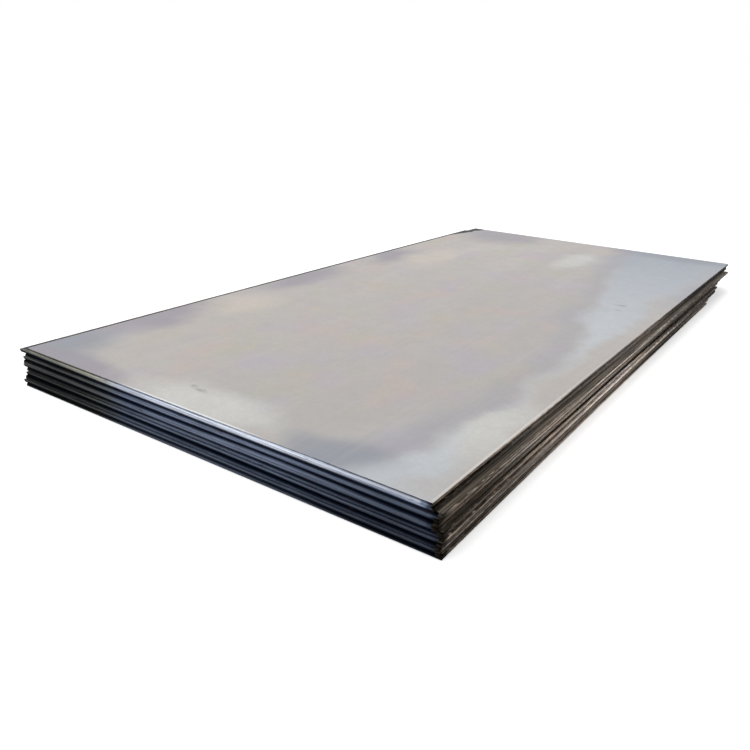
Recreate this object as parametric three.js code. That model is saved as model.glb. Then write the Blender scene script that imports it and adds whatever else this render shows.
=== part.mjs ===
// A stack of hot-rolled steel plates, cut to length on a guillotine and laid flat on each other.
// Millimetres and degrees, +Z up. X runs across the plates and Y along them, with the aligned
// ends of the plates towards -Y. The origin is under the middle of the stack, on the floor.
import * as THREE from 'three'

// The plates
const plateWidth = 1500 // the top plate, across
const plateLength = 3000 // the top plate, along
const plateThickness = 12

// The sheared ends of a plate, from the face where the blade went in to the face where it came out
const rollover = 1 // radius of the corner that the blade pulled round
const land = 3 // upright band that the blade burnished
const breakaway = 3 // how far the torn band leans back from the land

// The long edges, which keep the round corners of the rolling mill
const millRadius = 3

// How finely the long edges are drawn, because they bow a little, seen from above
const bowSteps = 8

// The plates under the top one
const lowerWider = 50 // how much wider they are than the top plate
const shortening = 42 // how much shorter each is than the plate that it carries
const swing = 0.055 // degrees that each is swung further than the plate that it carries
const bow = 4 // how far the middle of every plate's long edges strays to the left

// The stagger, from the floor up: how far each plate's near right corner stands out past the
// top plate's, which is the last. A negative near lies back from it.
const stagger = [
  { right: 30, near: -5 },
  { right: 25, near: 0 },
  { right: 25, near: -5 },
  { right: 30, near: -5 },
  { right: 25, near: -10 },
  { right: 15, near: -5 },
  { right: 15, near: -5 },
  { right: 15, near: -5 },
  { right: 25, near: -5 },
  { right: 5, near: 0 },
  { right: 0, near: 0 },
]

// The outline of a plate at one level of its edges, where the ends and the long edges are set in
// from its full size. It runs counter-clockwise from the near right corner, which is the point
// (0, 0) of the full outline.
function plateOutline({ width, length }, { endInset, sideInset }) {
  const rightSide = []
  const leftSide = []
  for (let step = 0; step <= bowSteps; step++) {
    const along = step / bowSteps
    const stray = -bow * 4 * along * (1 - along)
    const y = endInset + along * (length - 2 * endInset)
    rightSide.push([stray - sideInset, y])
    leftSide.push([stray - width + sideInset, y])
  }
  return [...rightSide, ...leftSide.reverse()]
}

// How far a round corner of this radius is set in, this far past the start of its curve
function roundedInset(radius, past) {
  return radius - Math.sqrt(radius ** 2 - Math.max(past, 0) ** 2)
}

// The edges in section, level by level from the underside up
function edgeProfile(tornSideUp) {
  const tornBand = plateThickness - rollover - land
  const levels = [
    0, millRadius / 3, millRadius, tornBand, plateThickness - millRadius, plateThickness - rollover,
    plateThickness - rollover * (1 - Math.SQRT1_2), plateThickness,
  ]
  const profile = levels.map((z) => ({
    z,
    endInset: z < tornBand
      ? breakaway * (1 - z / tornBand)
      : roundedInset(rollover, z - (plateThickness - rollover)),
    sideInset: roundedInset(millRadius, Math.max(millRadius - z, z - (plateThickness - millRadius))),
  }))
  if (!tornSideUp) return profile
  return profile.map((level) => ({ ...level, z: plateThickness - level.z })).reverse()
}

// A closed plate: one ring of the outline at each level of the edge, skinned from ring to
// ring and closed across the two faces
function plateGeometry(size, tornSideUp) {
  const rings = edgeProfile(tornSideUp).map((level) =>
    plateOutline(size, level).map(([x, y]) => [x, y, level.z]))
  const ringSize = rings[0].length
  const topRing = (rings.length - 1) * ringSize
  const triangles = []
  for (let ring = 0; ring < topRing; ring += ringSize) {
    for (let point = 0; point < ringSize; point++) {
      const here = ring + point
      const next = ring + (point + 1) % ringSize
      triangles.push(here, next, next + ringSize, here, next + ringSize, here + ringSize)
    }
  }
  for (let right = 0; right < bowSteps; right++) {
    const left = ringSize - 1 - right
    triangles.push(right, left, left - 1, right, left - 1, right + 1)
    triangles.push(topRing + right, topRing + right + 1, topRing + left - 1)
    triangles.push(topRing + right, topRing + left - 1, topRing + left)
  }
  const geometry = new THREE.BufferGeometry()
  geometry.setAttribute('position', new THREE.Float32BufferAttribute(rings.flat(2), 3))
  geometry.setIndex(triangles)
  geometry.computeVertexNormals()
  return geometry
}

const millScale = new THREE.MeshStandardMaterial({ color: 0x4b4844, roughness: 0.6, metalness: 0.6 })
const rolledFace = new THREE.MeshStandardMaterial({ color: 0xb9b6b2, roughness: 0.5, metalness: 0.6 })

// Every other plate is turned over, from the floor plate on, so that torn bands meet torn
// bands and leave a dark groove, and burnished bands meet burnished ones
const stack = new THREE.Group()
stagger.forEach(({ right, near }, level) => {
  const carried = stagger.length - 1 - level
  const size = {
    width: plateWidth + (carried > 0 ? lowerWider : 0),
    length: plateLength - carried * shortening,
  }
  const tornSideUp = level % 2 === 0
  const mesh = new THREE.Mesh(plateGeometry(size, tornSideUp), carried > 0 ? millScale : rolledFace)
  mesh.name = `plate_${String(level + 1).padStart(2, '0')}`
  mesh.position.set(plateWidth / 2 + right, -plateLength / 2 - near, level * plateThickness)
  mesh.rotation.z = THREE.MathUtils.degToRad(carried * swing)
  stack.add(mesh)
})

// The origin goes under the middle of the whole stack
const reach = new THREE.Box3().setFromObject(stack, true).getCenter(new THREE.Vector3())
stack.position.set(-reach.x, -reach.y, 0)

export default stack
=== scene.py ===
import bmesh
import bpy
import math
from mathutils import Matrix, Vector, noise


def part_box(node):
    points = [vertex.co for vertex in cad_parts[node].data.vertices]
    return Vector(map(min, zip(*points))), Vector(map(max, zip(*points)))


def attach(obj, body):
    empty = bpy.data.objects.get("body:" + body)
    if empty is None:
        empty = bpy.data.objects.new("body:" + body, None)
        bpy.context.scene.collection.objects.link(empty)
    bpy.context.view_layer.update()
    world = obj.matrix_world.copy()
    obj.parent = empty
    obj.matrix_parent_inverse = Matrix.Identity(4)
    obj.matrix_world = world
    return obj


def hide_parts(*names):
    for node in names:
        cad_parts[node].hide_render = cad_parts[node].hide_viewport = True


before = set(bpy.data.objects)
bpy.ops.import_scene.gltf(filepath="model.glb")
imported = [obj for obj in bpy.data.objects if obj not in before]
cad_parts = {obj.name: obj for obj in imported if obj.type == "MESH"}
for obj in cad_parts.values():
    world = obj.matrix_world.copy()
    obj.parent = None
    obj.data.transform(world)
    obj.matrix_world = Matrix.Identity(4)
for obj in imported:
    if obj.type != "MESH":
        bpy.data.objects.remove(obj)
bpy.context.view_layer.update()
scene = bpy.context.scene


# ---- The stand the stack is shown on
# A level, pale floor under an even white sky, with one broad lamp overhead. The camera stands
# off the near right corner of the top plate at waist height and looks down along the stack.

scene.view_settings.view_transform = "Standard"

top_low, top_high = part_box("plate_11")
near_right_corner = Vector((top_high.x, top_low.y, top_high.z))
camera_offset = Vector((0.627, -1.121, 0.783))
camera_turn = math.radians(34.83)
camera_dip = math.radians(21.47)
camera_roll = math.radians(1.75)
camera_lens = 34.4
camera_sensor = 36

camera = bpy.data.objects.new("camera", bpy.data.cameras.new("camera"))
camera.data.lens = camera_lens
camera.data.sensor_width = camera_sensor
camera.matrix_world = (
    Matrix.Translation(near_right_corner + camera_offset)
    @ Matrix.Rotation(camera_turn, 4, "Z")
    @ Matrix.Rotation(math.pi / 2 - camera_dip, 4, "X")
    @ Matrix.Rotation(camera_roll, 4, "Z")
)
scene.collection.objects.link(camera)
scene.camera = camera


def node(tree, kind, sockets=None, **settings):
    # a shader node, with its sockets set or, where the value is another node's output, linked
    made = tree.nodes.new("ShaderNode" + kind)
    for name, value in settings.items():
        setattr(made, name, value)
    for socket, value in (sockets or {}).items():
        if isinstance(value, bpy.types.NodeSocket):
            tree.links.new(value, made.inputs[socket])
        else:
            made.inputs[socket].default_value = value
    return made


def calc(tree, operation, first, second):
    return node(tree, "Math", {0: first, 1: second}, operation=operation).outputs[0]


def seen_past_light(tree):
    # 1 for what the camera sees, straight or in a gloss, and 0 for what lights the stack
    rays = node(tree, "LightPath").outputs
    either = calc(tree, "MAXIMUM", rays["Is Camera Ray"], rays["Is Glossy Ray"])
    return calc(tree, "MAXIMUM", either, rays["Is Transmission Ray"])


sky_light = 0.55
sky = bpy.data.worlds.new("white_sky")
sky.use_nodes = True
sky_tree = sky.node_tree
sky_tree.nodes.clear()
sky_strength = calc(sky_tree, "MAXIMUM", seen_past_light(sky_tree), sky_light)
sky_shader = node(sky_tree, "Background", {"Color": (1, 1, 1, 1), "Strength": sky_strength})
node(sky_tree, "OutputWorld", {"Surface": sky_shader.outputs[0]})
scene.world = sky

lamp_strength = 1.35
lamp_spread = math.radians(40)
lamp_tilt = (math.radians(12), math.radians(-14), 0)
lamp = bpy.data.objects.new("overhead", bpy.data.lights.new("overhead", "SUN"))
lamp.data.energy = lamp_strength
lamp.data.angle = lamp_spread
lamp.rotation_euler = lamp_tilt
scene.collection.objects.link(lamp)

floor_size = 60
floor_colour = (0.88, 0.88, 0.88, 1)
floor_glow = 0.44
bpy.ops.mesh.primitive_plane_add(size=floor_size)
floor = bpy.context.object
floor.name = "floor"
floor_paint = bpy.data.materials.new("pale_floor")
floor_paint.use_nodes = True
floor_tree = floor_paint.node_tree
floor_tree.nodes.clear()
floor_matt = node(floor_tree, "BsdfDiffuse", {"Color": floor_colour})
floor_lift = calc(floor_tree, "MULTIPLY", seen_past_light(floor_tree), floor_glow)
floor_white = node(floor_tree, "Emission", {"Color": (1, 1, 1, 1), "Strength": floor_lift})
floor_both = node(floor_tree, "AddShader", {0: floor_matt.outputs[0], 1: floor_white.outputs[0]})
node(floor_tree, "OutputMaterial", {"Surface": floor_both.outputs[0]})
floor.data.materials.append(floor_paint)


# ---- The ten plates under the top one
# Hot-rolled steel plates, 12 mm thick, laid flat. Their long edges are round, as the rolling
# mill left them. Their ends are cut on a guillotine: the blade rounds the corner that it enters
# at, burnishes a bright land under it, and tears the rest, which gathers oil and dust.

plate_thickness = 0.012
land_end = 0.004  # from the face that the blade went in at
point_spacing = 0.008
ring_spacing = 0.0013
rim_width = 0.005

# how deep the wear of an edge goes
long_waver = 0.0001
short_waver = 0.0002
torn_setback = 0.0004
torn_hollow = 0.0005
torn_grain = 0.0007
side_pits = 0.0004
chip_depth = 0.003
chip_reach = (0.001, 0.005)  # down from the arris, where a chip starts to end, and ends

# how far the line between land and torn band strays up and down, and sags
line_waver = 0.0009
line_sag = 0.0012

# how far the dust of the right side goes on round its corners, along the ends
corner_dust = 0.014
clean_corner_dust = 0.003
dust_blur = 0.006

# how far apart the bright places of painted sheen on the long sides lie, and those where the
# dark torn band, dirt and painted shade, reaches further over the land on the ends
bright_spacing = 0.9
dirt_and_shade_spacing = 0.7


def ripple(place, wavelength, seed):
    return noise.noise(Vector((place.x / wavelength, place.y / wavelength, seed)))


def smooth_step(value, low, high):
    share = min(max((value - low) / (high - low), 0), 1)
    return share * share * (3 - 2 * share)


def between(share, first, second):
    return first + (second - first) * share


def rise(edge):
    return abs(edge.verts[0].co.z - edge.verts[1].co.z)


def plate_form(cad_node):
    # the plate as drawn, with each strip of its edge in one piece and its two faces open
    form = bmesh.new()
    form.from_mesh(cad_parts[cad_node].data)
    bmesh.ops.remove_doubles(form, verts=form.verts, dist=1e-5)
    faces = [face for face in form.faces if abs(face.normal.z) > 0.999]
    bmesh.ops.delete(form, geom=faces, context="FACES")
    slanting = [e for e in form.edges if rise(e) > 1e-5 and e.calc_length() > 0.1]
    bmesh.ops.dissolve_edges(form, edges=slanting, use_verts=False)
    return form


def divide_edge(form):
    # points along the ends and the long sides, and rings down the tall strips and the low ones
    for shortest, longest in ((1.0, 3.0), (0.1, 1.0)):
        lines = [e for e in form.edges if shortest < e.calc_length() < longest]
        cuts = round(max(e.calc_length() for e in lines) / point_spacing) - 1
        bmesh.ops.subdivide_edges(form, edges=lines, cuts=cuts, use_grid_fill=True)
    for lowest, highest in ((0.003, 0.006), (0.0015, 0.003)):
        strips = [e for e in form.edges if lowest < rise(e) < highest]
        cuts = round(rise(strips[0]) / ring_spacing) - 1
        bmesh.ops.subdivide_edges(form, edges=strips, cuts=cuts, use_grid_fill=True)


def worn_away(place, level, depth, end, torn, lip):
    # How far a point of the edge is set in. The whole edge wavers, the torn band is hollow and
    # grainy, the long sides are pitted, and chips are out of the arris that the blade went in
    # at. A lip sets the torn arris back, and one below zero sets the torn band out.
    grain = ripple(place, 0.011, level + 40 + depth * 300)
    pits = 0.5 + ripple(place, 0.009, level + 50 + depth * 200)
    chips = ripple(place, 0.018, level + 60) + 0.5 * ripple(place, 0.2, level + 80)
    away = long_waver * (1 + ripple(place, 0.35, level))
    away += short_waver * (1 + ripple(place, 0.04, level + 20))
    away += torn * (torn_setback + torn_grain * grain) + torn_hollow * math.sin(math.pi * torn)
    away += lip * (smooth_step(torn, 0.86, 1) if lip > 0 else torn)
    away += (1 - end) * side_pits * pits
    away += chip_depth * smooth_step(chips, 0.62, 1.1) * (1 - smooth_step(depth, *chip_reach))
    return away


def weather_edge(form, level, torn_side_up, lip, dust_reach=0):
    # Wears the edge, and marks on each point how many millimetres it lies past the face that
    # the blade went in at, whether it is bare sheared metal, and that it is on the rim.
    base = level * plate_thickness
    layers = form.verts.layers.float
    for name in ("cut_depth", "sheared", "rim"):
        layers.new(name)
    cut_depth, sheared, rim = layers["cut_depth"], layers["sheared"], layers["rim"]
    form.normal_update()
    right = max(vert.co.x for vert in form.verts)
    moves = []
    for vert in form.verts:
        height = vert.co.z - base
        depth = height if torn_side_up else plate_thickness - height
        outward = vert.normal.xy.to_3d().normalized()
        end = smooth_step(abs(outward.y), 0.41, 1)
        torn = max((depth - land_end) / (plate_thickness - land_end), 0) * end
        drop = 0
        if 0.0015 < depth < plate_thickness - 1e-5:
            stray = line_waver * ripple(vert.co, 0.03, level + 100) + line_sag * torn
            drop = end * (1 - torn) * stray
        dusty = dust_reach * (1 + 0.7 * ripple(vert.co, 0.01, level + 120 + height * 90))
        vert[cut_depth] = (depth + drop) * 1000
        vert[sheared] = end * smooth_step(right - vert.co.x, dusty - dust_blur, dusty + dust_blur)
        vert[rim] = 1
        away = worn_away(vert.co, level, depth, end, torn, lip)
        moves.append((vert, outward * -away, drop if torn_side_up else -drop))
    for vert, slide, drop in moves:
        vert.co += slide
        vert.co.z += drop


def close_faces(form, torn_side_up):
    # The two rolled faces take the first material, and the edge takes the second. A narrow rim
    # round the face that the blade went in at is worn as bright as the land.
    cut_depth = form.verts.layers.float["cut_depth"]
    rim = form.verts.layers.float["rim"]
    for face in form.faces:
        face.material_index = 1
        face.smooth = True
    arrises = [e for e in form.edges if e.is_boundary]
    for arris in arrises:
        arris.smooth = False
    faces = bmesh.ops.holes_fill(form, edges=arrises, sides=0)["faces"]
    bmesh.ops.recalc_face_normals(form, faces=form.faces)
    for face in faces:
        face.material_index = 0
        face.smooth = False
        blade_side = (face.normal.z > 0) != torn_side_up
        worn = bmesh.ops.inset_region(form, faces=[face], thickness=rim_width)["faces"]
        for quad in worn:
            quad.material_index = 1 if blade_side else 0
        for vert in face.verts:
            vert[rim] = 0
            vert[cut_depth] = 0 if blade_side else plate_thickness * 1000


def uneven_sheen(place, seed):
    # painted sheen, mostly between a third of plain brightness and three times as much
    return 3 ** (2 * ripple(place, bright_spacing, seed))


def polish(form, level, brightness):
    # How strong the painted sheen of the edge is. An end has a painted highlight in its middle,
    # and its dark torn band, dirt and painted shade of the gap, reaches over its land more in some
    # places than in others, and most at its left. The upper and the lower half of the long sides
    # each have bright places of painted sheen of their own. The edge is darker towards the near
    # right corner.
    layers = form.verts.layers.float
    painted_sheen = layers.new("painted_sheen")
    cut_depth, sheared = layers["cut_depth"], layers["sheared"]
    corner = max(form.verts, key=lambda vert: vert.co.x - vert.co.y).co.copy()
    heights = [vert.co.z for vert in form.verts]
    middle = (min(heights) + max(heights)) / 2
    for vert in form.verts:
        to_middle = smooth_step(vert.co.x, -0.62, -0.1)
        to_right = smooth_step(vert.co.x, 0.3, 0.65)
        end = brightness * (0.5 + 0.5 * to_middle - 0.45 * to_right)
        upper = uneven_sheen(vert.co, 1.7 * level + 200.4)
        lower = uneven_sheen(vert.co, 1.7 * level + 300.9)
        side = between(smooth_step(middle - vert.co.z, -0.001, 0.001), upper, lower)
        uneven = 1 + 0.6 * ripple(vert.co, 0.01, vert.co.z * 90)
        # the edge is painted darker towards the near right corner
        away_from_corner = smooth_step((vert.co - corner).xy.length * uneven, 0.004, 0.036)
        vert[painted_sheen] = (end if vert[sheared] > 0.5 else side) * between(away_from_corner, 0.12, 1)
        # the dark torn band, dirt and painted shade of the gap, reaches further over the land here
        dust_and_painted_light = 2.5 - 2 * to_middle + 6 * ripple(vert.co, dirt_and_shade_spacing, 2.3 * level + 400.6)
        vert[cut_depth] += dust_and_painted_light * vert[sheared]


def finished(form, name, cad_node, materials):
    mesh = bpy.data.meshes.new(name)
    form.to_mesh(mesh)
    form.free()
    for material in materials:
        mesh.materials.append(material)
    piece = bpy.data.objects.new(name, mesh)
    scene.collection.objects.link(piece)
    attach(piece, "root")
    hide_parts(cad_node)


def tone(red, green, blue):
    # a colour as a paint chart gives it, 0 to 255
    def light(part):
        part /= 255
        return part / 12.92 if part <= 0.04045 else ((part + 0.055) / 1.055) ** 2.4
    return (light(red), light(green), light(blue), 1)


def blend(tree, share, first, second, mode="MIX"):
    made = node(tree, "Mix", {0: share, 6: first, 7: second}, data_type="RGBA", blend_type=mode)
    return made.outputs[2]


def fade(tree, value, low, high, start=0.0, end=1.0):
    return node(
        tree, "MapRange",
        {"Value": value, "From Min": low, "From Max": high, "To Min": start, "To Max": end},
        interpolation_type="SMOOTHSTEP",
    ).outputs["Result"]


def fade_straight(tree, value, low, high):
    return node(tree, "MapRange", {"Value": value, "From Min": low, "From Max": high}).outputs[0]


def cloud(tree, place, scale, detail=3.0, roughness=0.5):
    return node(
        tree, "TexNoise",
        {"Vector": place, "Scale": scale, "Detail": detail, "Roughness": roughness},
    ).outputs["Fac"]


def laid(tree, place, scale=(1, 1, 1), shift=(0, 0, 0), turn=0.0):
    return node(
        tree, "Mapping",
        {"Vector": place, "Scale": scale, "Location": shift, "Rotation": (0, 0, turn)},
    ).outputs["Vector"]


def split(tree, place):
    return node(tree, "SeparateXYZ", {0: place}).outputs


def marked(tree, name):
    return node(tree, "Attribute", attribute_name=name).outputs["Fac"]


def ramp(tree, value, stops):
    made = node(tree, "ValToRGB", {0: value})
    colours = made.color_ramp.elements
    while len(colours) < len(stops):
        colours.new(0.5)
    for element, (position, colour) in zip(colours, stops):
        element.position = position
        element.color = tone(*colour)
    return made.outputs["Color"]


def curve(tree, value, points):
    made = node(tree, "FloatCurve", {"Value": value})
    line = made.mapping.curves[0]
    for position, height in points[1:-1]:
        line.points.new(position, height)
    line.points[0].location = points[0]
    line.points[-1].location = points[-1]
    made.mapping.update()
    return made.outputs[0]


def new_finish(name, metallic, specular):
    finish = bpy.data.materials.new(name)
    finish.use_nodes = True
    shader = finish.node_tree.nodes["Principled BSDF"]
    shader.inputs["Metallic"].default_value = metallic
    shader.inputs["Specular IOR Level"].default_value = specular
    return finish, finish.node_tree, shader


def dress(tree, shader, colour, roughness, height, strength, distance):
    bump = node(tree, "Bump", {"Height": height, "Strength": strength, "Distance": distance})
    tree.links.new(colour, shader.inputs["Base Color"])
    tree.links.new(roughness, shader.inputs["Roughness"])
    tree.links.new(bump.outputs[0], shader.inputs["Normal"])


def mill_scale():
    finish, tree, shader = new_finish("dark_scale", metallic=0.3, specular=0.2)
    place = node(tree, "TexCoord").outputs["Object"]
    where = split(tree, place)
    patches = cloud(tree, place, 5, 5, 0.6)
    grain = cloud(tree, place, 240, 2)
    rust = fade(tree, cloud(tree, place, 17, 6, 0.7), 0.6, 0.72)
    colour = blend(tree, fade(tree, patches, 0.35, 0.65), tone(46, 45, 46), tone(72, 70, 70))
    colour = blend(tree, fade(tree, grain, 0.3, 0.7, 0, 0.35), colour, tone(30, 29, 29))
    colour = blend(tree, rust, colour, tone(74, 50, 36))

    # brown dust streaks the ledges that stand out along the right side; paler paint on the low
    # ones and away from the near end is painted light that lifts their shade
    streaks = cloud(tree, laid(tree, place, (260, 3, 1)), 1, 3, 0.6)
    dust_and_painted_light = ramp(tree, streaks, [(0.36, (48, 44, 38)), (0.5, (80, 73, 64)), (0.64, (116, 106, 93))])
    painted_light_lift = calc(
        tree, "MULTIPLY",
        fade(tree, where["Z"], 0.1, 0.05, 0, 0.8), fade(tree, where["Y"], -1.4, -0.9, 0.3, 1))
    dust_and_painted_light = blend(tree, painted_light_lift, dust_and_painted_light, tone(156, 146, 130))
    colour = blend(tree, fade(tree, where["X"], 0.735, 0.755), colour, dust_and_painted_light)

    dress(tree, shader, colour, fade(tree, patches, 0.3, 0.7, 0.45, 0.7), grain, 0.3, 0.0004)
    return finish


def sheared_end(tree, place, share, painted_sheen):
    # blue-black, with a burnished land above the torn band, which is dark with dirt and with
    # painted shade of the gap between plates, and greyer where the painted sheen is strongest
    end = ramp(tree, fade_straight(tree, share, -0.4, 1.0), [
        (0.0, (60, 65, 85)), (0.3, (110, 120, 140)), (0.5, (105, 115, 135)),
        (0.78, (30, 40, 60)), (1.0, (2, 7, 22))])
    grey = node(tree, "RGBToBW", {0: end}).outputs[0]
    end = blend(tree, fade(tree, painted_sheen, 1.4, 3.2, 0, 0.6), end, grey)

    # oil and dust dull its left part
    uneven = calc(tree, "MULTIPLY", cloud(tree, place, 4), 0.25)
    left = calc(tree, "ADD", split(tree, place)["X"], uneven)
    return blend(tree, fade(tree, left, -0.3, -0.12, 1, 0), end, tone(236, 224, 188), "MULTIPLY")


def mill_edge(tree, place, share):
    # umber with joints darker than the middles (painted shade between the plates) and lighter than
    # them far on, and dull, even and greenish towards the far end
    uneven = calc(tree, "MULTIPLY", cloud(tree, place, 3, 4), 0.3)
    along = calc(tree, "ADD", split(tree, place)["Y"], uneven)
    along = fade_straight(tree, along, -1.35, 1.65)
    middle = ramp(tree, along, [
        (0.08, (120, 110, 100)), (0.18, (180, 170, 160)), (0.42, (180, 170, 160)),
        (0.62, (80, 75, 70))])
    # painted shade at the joints between plates over most of the length
    joint = ramp(tree, along, [
        (0.08, (70, 60, 50)), (0.18, (130, 120, 110)), (0.42, (160, 150, 140)),
        (0.62, (95, 90, 85))])
    off_middle = calc(tree, "ABSOLUTE", calc(tree, "SUBTRACT", share, 0.5), 0)
    side = blend(tree, fade(tree, off_middle, 0.22, 0.46), middle, joint)

    # long streaks run along it, and broken scale speckles it
    streaks = cloud(tree, laid(tree, place, (7, 7, 330)), 1, 4, 0.7)
    streaky = curve(tree, along, [(0, 0.7), (0.08, 0.7), (0.18, 0.4), (0.6, 0.3), (1, 0.25)])
    dark_streaks = calc(tree, "MULTIPLY", fade(tree, streaks, 0.5, 0.38, 0, 0.75), streaky)
    pale_streaks = calc(tree, "MULTIPLY", fade(tree, streaks, 0.52, 0.64, 0, 0.42), streaky)
    side = blend(tree, dark_streaks, side, tone(30, 25, 20))
    side = blend(tree, pale_streaks, side, tone(205, 192, 174))
    grit = cloud(tree, laid(tree, place, (34, 34, 380)), 1, 3, 0.65)
    side = blend(tree, fade(tree, grit, 0.5, 0.36, 0, 0.5), side, tone(34, 31, 26))
    side = blend(tree, fade(tree, grit, 0.52, 0.66, 0, 0.32), side, tone(214, 204, 188))

    # rust and bluing tint it by turns
    hue = cloud(tree, laid(tree, place, (3, 3, 45)), 1, 3, 0.6)
    side = blend(tree, fade(tree, hue, 0.5, 0.62, 0, 0.55), side, tone(255, 236, 228), "MULTIPLY")
    return blend(tree, fade(tree, hue, 0.5, 0.38, 0, 0.7), side, tone(242, 242, 255), "MULTIPLY")


def plate_edge():
    finish, tree, shader = new_finish("plate_edge", metallic=0.5, specular=0.0)
    place = node(tree, "TexCoord").outputs["Object"]
    depth, painted_sheen = marked(tree, "cut_depth"), marked(tree, "painted_sheen")
    sheared = fade(tree, marked(tree, "sheared"), 0.45, 0.55)

    # the share of the thickness that a point lies past the face that the blade went in at
    stray = calc(tree, "SUBTRACT", cloud(tree, place, 26, 4, 0.6), 0.5)
    share = calc(
        tree, "ADD", calc(tree, "DIVIDE", depth, plate_thickness * 1000),
        calc(tree, "MULTIPLY", stray, 0.2))
    colour = blend(
        tree, sheared, mill_edge(tree, place, share), sheared_end(tree, place, share, painted_sheen))
    # the painted sheen: painted highlight where it is above 1, painted shade where below
    gleam = node(tree, "CombineColor", {0: painted_sheen, 1: painted_sheen, 2: painted_sheen}).outputs[0]
    colour = blend(tree, 1.0, colour, gleam, "MULTIPLY")

    # drag lines run along both, and rust comes through in places
    drag = cloud(tree, laid(tree, place, (6, 6, 620)), 1, 4, 0.65)
    colour = blend(tree, fade(tree, drag, 0.35, 0.62, 0.5, 0), colour, tone(10, 9, 9))
    rust = fade(tree, cloud(tree, laid(tree, place, (1, 1, 6)), 14, 6, 0.7), 0.58, 0.7)
    colour = blend(tree, calc(tree, "MULTIPLY", rust, 0.5), colour, tone(60, 36, 24))

    # the torn band is rough, and it and the long sides are matt
    torn = calc(tree, "MULTIPLY", fade(tree, depth, 3.2, 7.5), sheared)
    matt = calc(tree, "MAXIMUM", torn, calc(tree, "SUBTRACT", 1.0, sheared))
    rough = cloud(tree, place, 500, 3)
    dress(tree, shader, colour, fade(tree, matt, 0, 1, 0.4, 0.9), rough, torn, 0.0006)
    return finish


dark_faces = mill_scale()
edges = plate_edge()

# The ends' painted sheen is stronger the higher a plate lies off the floor. The uppermost one,
# right under the top plate, has a strong painted highlight.
lower_plates = 10
lowest_brightness = 0.6
brighter_each = 0.1
uppermost_highlight = 4
torn_lip = 0.004
for level in range(lower_plates):
    uppermost = level == lower_plates - 1
    cad_node = f"plate_{level + 1:02d}"
    torn_side_up = level % 2 == 0
    form = plate_form(cad_node)
    divide_edge(form)
    weather_edge(
        form, level, torn_side_up, torn_lip, clean_corner_dust if uppermost else corner_dust)
    close_faces(form, torn_side_up)
    polish(
        form, level,
        uppermost_highlight if uppermost else lowest_brightness + level * brighter_each)
    finished(form, f"lower_plate_{level + 1:02d}", cad_node, [dark_faces, edges])


# ---- The top plate
# The same plate, 1500 x 3000 mm, with its rolled face open to the light. The face is a pale
# warm grey, with a cool margin along each long side; the right one is pale as a painted sheen.

top_middle = (top_low + top_high) / 2
half_width = 0.75
half_length = 1.5


def strayed(tree, place):
    # the same place, moved up to a hand's breadth, so that margins and patches waver
    def combined(first, second, operation):
        return node(tree, "VectorMath", {0: first, 1: second}, operation=operation).outputs[0]
    drift = node(tree, "TexNoise", {"Vector": place, "Scale": 3.5, "Detail": 4.0}).outputs["Color"]
    drift = combined(drift, (0.5, 0.5, 0.5), "SUBTRACT")
    drift = combined(drift, (0.22, 0.22, 0), "MULTIPLY")
    return combined(place, drift, "ADD")


def bloom(tree, place, x, y, wide, long):
    # a soft patch: 1 in its middle, 0 past its rim
    spot = laid(tree, place, (1 / wide, 1 / long, 0), (-x / wide, -y / long, 0))
    reach = node(tree, "VectorMath", {0: spot}, operation="LENGTH").outputs["Value"]
    return fade(tree, reach, 0.25, 1.0, 1, 0)


def face_body(tree, place, soft, along):
    # warmer to the left
    side = split(tree, soft)["X"]
    colour = blend(tree, fade(tree, side, -0.35, 0.3), tone(188, 183, 178), tone(183, 179, 176))

    # soft streaks slant across the far half
    streaks = cloud(tree, laid(tree, soft, (5.5, 0.9, 1), turn=math.radians(16)), 1, 4, 0.55)
    strength = fade(tree, along, 0.3, 0.75, 0.1, 0.4)
    light = calc(tree, "MULTIPLY", fade(tree, streaks, 0.48, 0.72), strength)
    dark = calc(tree, "MULTIPLY", fade(tree, streaks, 0.5, 0.28), strength)
    colour = blend(tree, light, colour, tone(206, 204, 200))
    colour = blend(tree, dark, colour, tone(176, 173, 180))

    # and faint tints drift over it, pink, olive and violet
    for shift, tint in (
        (2, tone(202, 178, 171)), (5, tone(186, 184, 164)), (9, tone(184, 175, 190)),
    ):
        drifting = cloud(tree, laid(tree, place, (5, 3.4, 1), (shift, 0, 0)), 1, 4, 0.55)
        colour = blend(tree, fade(tree, drifting, 0.5, 0.66, 0, 0.4), colour, tint)
    return colour


def right_margin(tree, colour, soft, along):
    # the cool margin along the right side, a painted sheen, and the violet rim beside it
    start = curve(tree, along, [(0, 0.5), (0.25, 0.65), (0.6, 0.45), (1, 0.25)])
    side = split(tree, soft)["X"]
    past = calc(tree, "SUBTRACT", side, start)
    violet = calc(tree, "MULTIPLY", fade(tree, past, -0.13, -0.03), fade(tree, past, 0.08, -0.01))
    strength = curve(tree, along, [(0, 1), (0.2, 0.4), (0.7, 0.4), (1, 0.9)])
    violet = calc(tree, "MULTIPLY", violet, strength)
    colour = blend(tree, violet, colour, tone(158, 158, 169))
    cool = ramp(tree, along, [
        (0.0, (190, 195, 200)), (0.15, (205, 208, 210)), (0.5, (195, 200, 205)),
        (1.0, (160, 168, 180))])
    colour = blend(tree, fade(tree, past, -0.03, 0.06), colour, cool)

    # a warm line runs down the right side itself
    warm = calc(tree, "MULTIPLY", fade(tree, side, 0.63, 0.72), curve(tree, along, [
        (0, 0.3), (0.15, 0.8), (0.55, 0.7), (1, 0)]))
    return blend(tree, warm, colour, tone(186, 178, 171))


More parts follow.
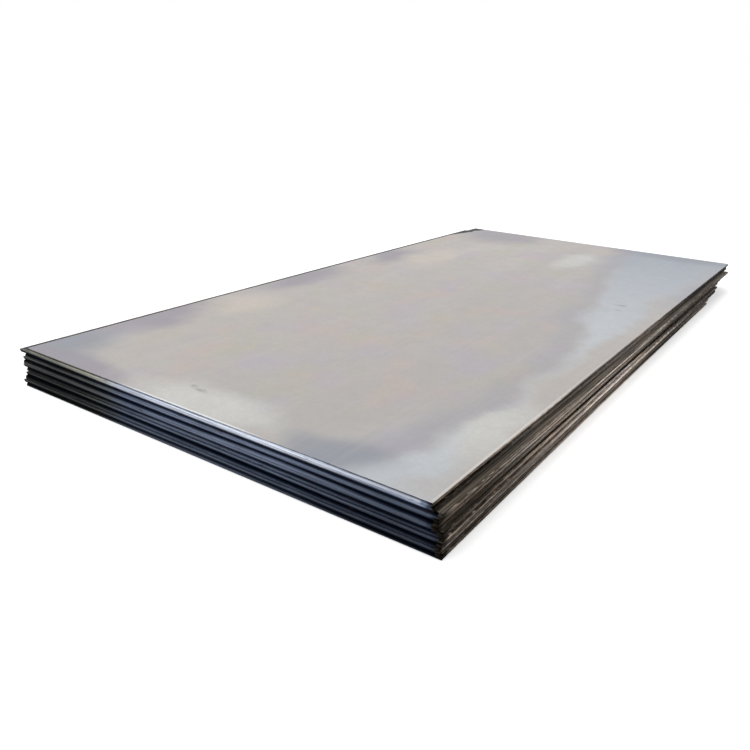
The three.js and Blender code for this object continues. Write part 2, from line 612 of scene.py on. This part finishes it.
def scale_patches(tree, colour, soft):
    # patches of thicker and thinner scale: where they lie, how wide and how long they are, their
    # tone and how strongly they cover
    steel_blue, blue_grey = tone(145, 150, 160), tone(165, 170, 180)
    violet_grey, pale_warm, pale = tone(155, 150, 160), tone(205, 195, 185), tone(210, 210, 205)
    # dark, with pale patches that break it
    left_margin = [
        (-0.70, -1.40, 0.20, 0.30, steel_blue, 0.9),
        (-0.70, -1.00, 0.15, 0.35, violet_grey, 0.9),
        (-0.70, -0.20, 0.15, 0.40, violet_grey, 0.9),
        (-0.65, 0.45, 0.15, 0.30, violet_grey, 0.9),
        (-0.60, -0.70, 0.15, 0.25, pale_warm, 0.8),
        (-0.50, 0.60, 0.15, 0.40, pale_warm, 0.8),
    ]
    # dark at its left, pale in its middle and dark again before the right margin
    near_end = [
        (-0.55, -1.50, 0.45, 0.10, violet_grey, 0.9),
        (0.00, -1.45, 0.35, 0.15, pale, 0.9),
        (0.45, -1.45, 0.20, 0.10, steel_blue, 0.8),
    ]
    # pale near the corner, where the right margin's painted sheen is brightest, and bluer further
    # on
    right_side = [
        (0.70, -1.10, 0.10, 0.25, pale, 0.8),
        (0.75, 0.75, 0.10, 0.50, blue_grey, 0.6),
    ]
    far_end = [
        (-0.50, 1.40, 0.35, 0.35, violet_grey, 0.8),
        (0.10, 1.00, 0.10, 0.30, pale, 0.7),
        (0.30, 1.20, 0.15, 0.35, blue_grey, 0.6),
        (0.50, 1.50, 0.50, 0.20, steel_blue, 0.9),
    ]
    for x, y, wide, long, patch, strength in left_margin + near_end + right_side + far_end:
        share = calc(tree, "MULTIPLY", bloom(tree, soft, x, y, wide, long), strength)
        colour = blend(tree, share, colour, patch)
    return colour


def scuffs(tree, colour, place):
    broken = fade(tree, cloud(tree, place, 110, 3, 0.6), 0.4, 0.55, 0.2, 1)
    for x, y, wide, long, strength in (
        (-0.104, -1.382, 0.022, 0.014, 0.6), (-0.062, -1.391, 0.038, 0.013, 0.7),
        (0.572, 0.290, 0.036, 0.019, 0.7), (0.590, 0.215, 0.026, 0.017, 0.7),
    ):
        share = calc(tree, "MULTIPLY", bloom(tree, place, x, y, wide, long), strength)
        colour = blend(tree, calc(tree, "MULTIPLY", share, broken), colour, tone(138, 141, 148))
    return colour


def black_strip(tree, colour, place):
    # a black strip along the left side at the far corner, with a ragged edge
    where = split(tree, place)
    ragged = calc(tree, "MULTIPLY", cloud(tree, place, 24, 6, 0.65), 0.09)
    width = calc(tree, "ADD", ragged, 0.03)
    width = calc(tree, "MULTIPLY", width, fade_straight(tree, where["Y"], 1.15, 1.5))
    inside = calc(tree, "SUBTRACT", width, where["X"])
    return blend(tree, fade(tree, inside, 0.751, 0.754), colour, tone(20, 20, 23))


def rim_highlight(tree, colour, place, along):
    # a painted highlight where the rim catches the light, most at the middle of the near end
    where = split(tree, place)
    rim = fade(tree, marked(tree, "rim"), 0.1, 0.8)
    across = fade_straight(tree, where["X"], -half_width, half_width)
    near = calc(tree, "MULTIPLY", fade(tree, where["Y"], -1.485, -1.49), curve(tree, across, [
        (0, 0), (0.28, 0), (0.4, 0.8), (0.6, 0.8), (0.72, 0), (1, 0)]))
    beside = calc(tree, "MULTIPLY", fade(tree, where["X"], 0.74, 0.745), curve(tree, along, [
        (0, 0.3), (0.1, 0.5), (0.4, 0.25), (1, 0)]))
    colour = blend(tree, calc(tree, "MULTIPLY", rim, near), colour, tone(240, 242, 245))
    return blend(tree, calc(tree, "MULTIPLY", rim, beside), colour, tone(236, 229, 222))


def rolled_face():
    finish, tree, shader = new_finish("pale_rolled_face", metallic=0.4, specular=0.2)
    place = laid(tree, node(tree, "TexCoord").outputs["Object"], shift=tuple(-top_middle))
    soft = strayed(tree, place)
    along = fade_straight(tree, split(tree, place)["Y"], -half_length, half_length)
    colour = face_body(tree, place, soft, along)
    colour = right_margin(tree, colour, soft, along)
    colour = scale_patches(tree, colour, soft)
    colour = scuffs(tree, colour, place)

    # mottling, flecks, rolling lines and grain
    mottle = cloud(tree, place, 13, 5, 0.62)
    flecks = cloud(tree, place, 75, 3, 0.7)
    lines = cloud(tree, laid(tree, place, (60, 1.2, 1)), 1, 3, 0.6)
    grain = cloud(tree, place, 320, 3, 0.6)
    colour = blend(tree, fade(tree, mottle, 0.35, 0.65, 0.0, 0.1), colour, tone(168, 166, 170))
    colour = blend(tree, fade(tree, flecks, 0.36, 0.64, 0.12, 0.0), colour, tone(150, 148, 150))
    colour = blend(tree, fade(tree, lines, 0.5, 0.75, 0.0, 0.08), colour, tone(216, 214, 212))
    colour = blend(tree, fade(tree, grain, 0.35, 0.65, 0.12, 0.0), colour, tone(150, 147, 146))

    colour = black_strip(tree, colour, place)
    colour = rim_highlight(tree, colour, place, along)
    dress(tree, shader, colour, fade(tree, mottle, 0.3, 0.7, 0.47, 0.53), grain, 0.2, 0.0003)
    return finish


pale_face = rolled_face()
form = plate_form("plate_11")
divide_edge(form)
weather_edge(form, lower_plates, torn_side_up=True, lip=-0.0027)
close_faces(form, torn_side_up=True)
polish(form, lower_plates, brightness=6)

# its torn band is painted lighter than the others': less dirt, and no painted shade of a plate
# above
cut_depth, sheared = form.verts.layers.float["cut_depth"], form.verts.layers.float["sheared"]
darkest = 8  # millimetres past the face that the blade went in at
for vert in form.verts:
    vert[cut_depth] = min(vert[cut_depth], darkest)

# its upper arris is painted as pale as its face, its own scale with a painted highlight, a little
# further down on the ends than on the sides, and the highlight fades out towards the right of each
# end
side_arris = 0.0025
further_on_ends = 0.001
highlight_fade_depth = 0.0035
for face in form.faces:
    down = max(top_high.z - vert.co.z - further_on_ends * vert[sheared] for vert in face.verts)
    # the painted highlight on the arris fades out towards the right of each end
    highlight_fade = smooth_step(-face.calc_center_median().x * face.normal.y, 0.2, 0.55)
    if down < side_arris - highlight_fade_depth * highlight_fade:
        face.material_index = 0
finished(form, "top_plate", "plate_11", [pale_face, edges])
